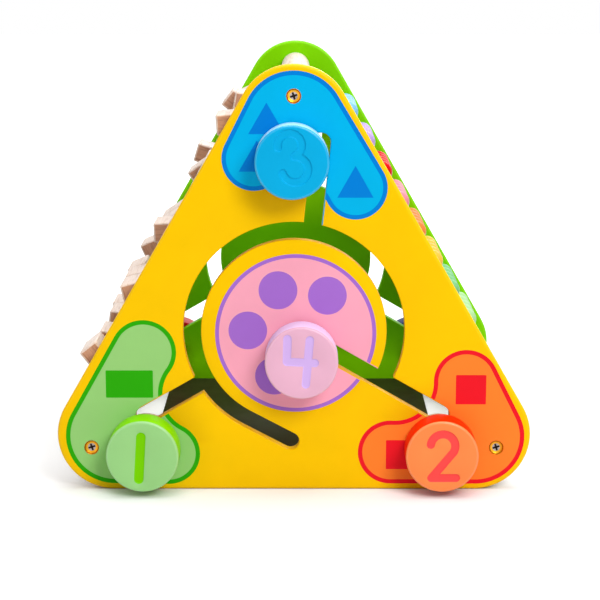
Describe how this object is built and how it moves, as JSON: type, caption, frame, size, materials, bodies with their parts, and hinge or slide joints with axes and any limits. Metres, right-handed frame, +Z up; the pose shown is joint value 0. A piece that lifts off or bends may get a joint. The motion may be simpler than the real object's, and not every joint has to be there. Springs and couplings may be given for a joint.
{
  "type": "activity centre",
  "caption": "Wooden activity triangle for a child: two maze boards with sliding knobs, flip blocks on rods, a bead frame and a handle bar.",
  "frame": {"origin": "on the floor, under the middle of the toy's bounding box", "axes": "+Z up; -Y is the side of the numbered maze board, +Y runs from it to the back board; +X to the right as the numbered board is seen"},
  "size_m": [0.31, 0.3376, 0.2783],
  "materials": {
    "yellow_paint": "satin lacquered paint on plywood",
    "green_paint": "satin lacquered paint on plywood",
    "natural_wood": "bare fine-grained hardwood",
    "block_wood": "bare beech, sanded",
    "dark_board": "smooth dark paint on thin board",
    "light_green_paint": "satin paint on wood",
    "orange_paint": "satin paint on wood",
    "blue_paint": "satin paint on wood",
    "pink_paint": "satin paint on wood",
    "red_paint": "satin paint on wood",
    "navy_paint": "satin paint on wood",
    "amber_paint": "satin paint on wood",
    "purple_paint": "satin paint on wood",
    "sky_blue_bead": "gloss paint on wood",
    "lilac_bead": "gloss paint on wood",
    "bead_red_bead": "gloss paint on wood",
    "rose_bead": "gloss paint on wood",
    "apricot_bead": "gloss paint on wood",
    "bead_yellow_bead": "gloss paint on wood",
    "leaf_green_bead": "gloss paint on wood",
    "pale_green_bead": "gloss paint on wood"
  },
  "bodies": {
    "frame": {"front_panel": "yellow_paint", "back_panel": "green_paint", "base_board": "dark_board", "right_bar": "natural_wood", "top_bar": "natural_wood", "left_bar": "natural_wood", "block_rod_1": "natural_wood", "block_rod_2": "natural_wood", "block_rod_3": "natural_wood", "block_rod_4": "natural_wood", "block_rod_5": "natural_wood", "bead_rod_1": "natural_wood", "bead_rod_2": "natural_wood", "bead_rod_3": "natural_wood", "bead_rod_4": "natural_wood", "bead_rod_5": "natural_wood", "bead_rod_6": "natural_wood", "bead_rod_7": "natural_wood", "bead_rod_8": "natural_wood"},
    "front_glide_1": {"front_glide_1": "natural_wood"},
    "front_knob_1": {"front_knob_1": "light_green_paint"},
    "back_knob_1": {"back_knob_1": "red_paint"},
    "front_glide_2": {"front_glide_2": "natural_wood"},
    "front_knob_2": {"front_knob_2": "orange_paint"},
    "back_knob_2": {"back_knob_2": "navy_paint"},
    "front_glide_3": {"front_glide_3": "natural_wood"},
    "front_knob_3": {"front_knob_3": "blue_paint"},
    "back_knob_3": {"back_knob_3": "amber_paint"},
    "front_glide_4": {"front_glide_4": "natural_wood"},
    "front_knob_4": {"front_knob_4": "pink_paint"},
    "back_knob_4": {"back_knob_4": "purple_paint"},
    "flip_block_1_1": {"flip_block_1_1": "block_wood"},
    "flip_block_1_2": {"flip_block_1_2": "block_wood"},
    "flip_block_1_3": {"flip_block_1_3": "block_wood"},
    "flip_block_1_4": {"flip_block_1_4": "block_wood"},
    "flip_block_2_1": {"flip_block_2_1": "block_wood"},
    "flip_block_2_2": {"flip_block_2_2": "block_wood"},
    "flip_block_2_3": {"flip_block_2_3": "block_wood"},
    "flip_block_2_4": {"flip_block_2_4": "block_wood"},
    "flip_block_3_1": {"flip_block_3_1": "block_wood"},
    "flip_block_3_2": {"flip_block_3_2": "block_wood"},
    "flip_block_3_3": {"flip_block_3_3": "block_wood"},
    "flip_block_3_4": {"flip_block_3_4": "block_wood"},
    "flip_block_4_1": {"flip_block_4_1": "block_wood"},
    "flip_block_4_2": {"flip_block_4_2": "block_wood"},
    "flip_block_4_3": {"flip_block_4_3": "block_wood"},
    "flip_block_4_4": {"flip_block_4_4": "block_wood"},
    "flip_block_5_1": {"flip_block_5_1": "block_wood"},
    "flip_block_5_2": {"flip_block_5_2": "block_wood"},
    "flip_block_5_3": {"flip_block_5_3": "block_wood"},
    "flip_block_5_4": {"flip_block_5_4": "block_wood"},
    "bead_row_1": {"bead_row_1": "sky_blue_bead"},
    "bead_row_2": {"bead_row_2": "lilac_bead"},
    "bead_row_3": {"bead_row_3": "bead_red_bead"},
    "bead_row_4": {"bead_row_4": "rose_bead"},
    "bead_row_5": {"bead_row_5": "apricot_bead"},
    "bead_row_6": {"bead_row_6": "bead_yellow_bead"},
    "bead_row_7": {"bead_row_7": "leaf_green_bead"},
    "bead_row_8": {"bead_row_8": "pale_green_bead"}
  },
  "joints": [
    {"name": "front_glide_1_slide", "type": "slide", "parent": "frame", "child": "front_glide_1", "axis": [0, 0, 1], "range_m": [0, 0.0216]},
    {"name": "front_knob_1_spin", "type": "hinge", "parent": "front_glide_1", "child": "front_knob_1", "pos_m": [-0.0977, -0.1583, 0.0281], "axis": [0, 1, 0], "continuous": true},
    {"name": "back_knob_1_slide", "type": "slide", "parent": "frame", "child": "back_knob_1", "axis": [0, 0, 1], "range_m": [0, 0.0216]},
    {"name": "front_glide_2_slide", "type": "slide", "parent": "frame", "child": "front_glide_2", "axis": [0, 0, 1], "range_m": [0, 0.0227]},
    {"name": "front_knob_2_spin", "type": "hinge", "parent": "front_glide_2", "child": "front_knob_2", "pos_m": [0.0958, -0.1583, 0.0281], "axis": [0, 1, 0], "continuous": true},
    {"name": "back_knob_2_slide", "type": "slide", "parent": "frame", "child": "back_knob_2", "axis": [0, 0, 1], "range_m": [0, 0.0227]},
    {"name": "front_glide_3_slide", "type": "slide", "parent": "frame", "child": "front_glide_3", "axis": [0, 0, 1], "range_m": [0, 0.0107]},
    {"name": "front_knob_3_spin", "type": "hinge", "parent": "front_glide_3", "child": "front_knob_3", "pos_m": [-0.001, -0.1583, 0.2185], "axis": [0, 1, 0], "continuous": true},
    {"name": "back_knob_3_slide", "type": "slide", "parent": "frame", "child": "back_knob_3", "axis": [0, 0, 1], "range_m": [0, 0.0107]},
    {"name": "front_glide_4_slide", "type": "slide", "parent": "frame", "child": "front_glide_4", "axis": [0, 0, 1], "range_m": [0, 0.0133]},
    {"name": "front_knob_4_spin", "type": "hinge", "parent": "front_glide_4", "child": "front_knob_4", "pos_m": [0.005, -0.1583, 0.09001], "axis": [0, 1, 0], "continuous": true},
    {"name": "back_knob_4_slide", "type": "slide", "parent": "frame", "child": "back_knob_4", "axis": [0, 0, 1], "range_m": [0, 0.0133]},
    {"name": "flip_block_1_1_turn", "type": "hinge", "parent": "frame", "child": "flip_block_1_1", "pos_m": [-0.03537, -0.11905, 0.23974], "axis": [0, 1, 0], "continuous": true},
    {"name": "flip_block_1_2_turn", "type": "hinge", "parent": "frame", "child": "flip_block_1_2", "pos_m": [-0.03537, -0.05552, 0.23974], "axis": [0, 1, 0], "continuous": true},
    {"name": "flip_block_1_3_turn", "type": "hinge", "parent": "frame", "child": "flip_block_1_3", "pos_m": [-0.03537, -0.0195, 0.23974], "axis": [0, 1, 0], "continuous": true},
    {"name": "flip_block_1_4_turn", "type": "hinge", "parent": "frame", "child": "flip_block_1_4", "pos_m": [-0.03537, 0.07556, 0.23974], "axis": [0, 1, 0], "continuous": true},
    {"name": "flip_block_2_1_turn", "type": "hinge", "parent": "frame", "child": "flip_block_2_1", "pos_m": [-0.05817, -0.11848, 0.20025], "axis": [0, 1, 0], "continuous": true},
    {"name": "flip_block_2_2_turn", "type": "hinge", "parent": "frame", "child": "flip_block_2_2", "pos_m": [-0.05817, -0.08404, 0.20025], "axis": [0, 1, 0], "continuous": true},
    {"name": "flip_block_2_3_turn", "type": "hinge", "parent": "frame", "child": "flip_block_2_3", "pos_m": [-0.05817, -0.03606, 0.20025], "axis": [0, 1, 0], "continuous": true},
    {"name": "flip_block_2_4_turn", "type": "hinge", "parent": "frame", "child": "flip_block_2_4", "pos_m": [-0.05817, 0.03251, 0.20025], "axis": [0, 1, 0], "continuous": true},
    {"name": "flip_block_3_1_turn", "type": "hinge", "parent": "frame", "child": "flip_block_3_1", "pos_m": [-0.08097, -0.11747, 0.16076], "axis": [0, 1, 0], "continuous": true},
    {"name": "flip_block_3_2_turn", "type": "hinge", "parent": "frame", "child": "flip_block_3_2", "pos_m": [-0.08097, -0.06445, 0.16076], "axis": [0, 1, 0], "continuous": true},
    {"name": "flip_block_3_3_turn", "type": "hinge", "parent": "frame", "child": "flip_block_3_3", "pos_m": [-0.08097, -0.01705, 0.16076], "axis": [0, 1, 0], "continuous": true},
    {"name": "flip_block_3_4_turn", "type": "hinge", "parent": "frame", "child": "flip_block_3_4", "pos_m": [-0.08097, 0.01969, 0.16076], "axis": [0, 1, 0], "continuous": true},
    {"name": "flip_block_4_1_turn", "type": "hinge", "parent": "frame", "child": "flip_block_4_1", "pos_m": [-0.10377, -0.11747, 0.12126], "axis": [0, 1, 0], "continuous": true},
    {"name": "flip_block_4_2_turn", "type": "hinge", "parent": "frame", "child": "flip_block_4_2", "pos_m": [-0.10377, -0.08087, 0.12126], "axis": [0, 1, 0], "continuous": true},
    {"name": "flip_block_4_3_turn", "type": "hinge", "parent": "frame", "child": "flip_block_4_3", "pos_m": [-0.10377, -0.04686, 0.12126], "axis": [0, 1, 0], "continuous": true},
    {"name": "flip_block_4_4_turn", "type": "hinge", "parent": "frame", "child": "flip_block_4_4", "pos_m": [-0.10377, 0.05396, 0.12126], "axis": [0, 1, 0], "continuous": true},
    {"name": "flip_block_5_1_turn", "type": "hinge", "parent": "frame", "child": "flip_block_5_1", "pos_m": [-0.12657, -0.11934, 0.08177], "axis": [0, 1, 0], "continuous": true},
    {"name": "flip_block_5_2_turn", "type": "hinge", "parent": "frame", "child": "flip_block_5_2", "pos_m": [-0.12657, -0.08504, 0.08177], "axis": [0, 1, 0], "continuous": true},
    {"name": "flip_block_5_3_turn", "type": "hinge", "parent": "frame", "child": "flip_block_5_3", "pos_m": [-0.12657, -0.01777, 0.08177], "axis": [0, 1, 0], "continuous": true},
    {"name": "flip_block_5_4_turn", "type": "hinge", "parent": "frame", "child": "flip_block_5_4", "pos_m": [-0.12657, 0.0171, 0.08177], "axis": [0, 1, 0], "continuous": true},
    {"name": "bead_row_1_slide", "type": "slide", "parent": "frame", "child": "bead_row_1", "axis": [0, -1, 0], "range_m": [0, 0.191]},
    {"name": "bead_row_2_slide", "type": "slide", "parent": "frame", "child": "bead_row_2", "axis": [0, -1, 0], "range_m": [0, 0.191]},
    {"name": "bead_row_3_slide", "type": "slide", "parent": "frame", "child": "bead_row_3", "axis": [0, -1, 0], "range_m": [0, 0.191]},
    {"name": "bead_row_4_slide", "type": "slide", "parent": "frame", "child": "bead_row_4", "axis": [0, -1, 0], "range_m": [0, 0.191]},
    {"name": "bead_row_5_slide", "type": "slide", "parent": "frame", "child": "bead_row_5", "axis": [0, -1, 0], "range_m": [0, 0.191]},
    {"name": "bead_row_6_slide", "type": "slide", "parent": "frame", "child": "bead_row_6", "axis": [0, -1, 0], "range_m": [0, 0.191]},
    {"name": "bead_row_7_slide", "type": "slide", "parent": "frame", "child": "bead_row_7", "axis": [0, -1, 0], "range_m": [0, 0.191]},
    {"name": "bead_row_8_slide", "type": "slide", "parent": "frame", "child": "bead_row_8", "axis": [0, -1, 0], "range_m": [0, 0.191]}
  ]
}
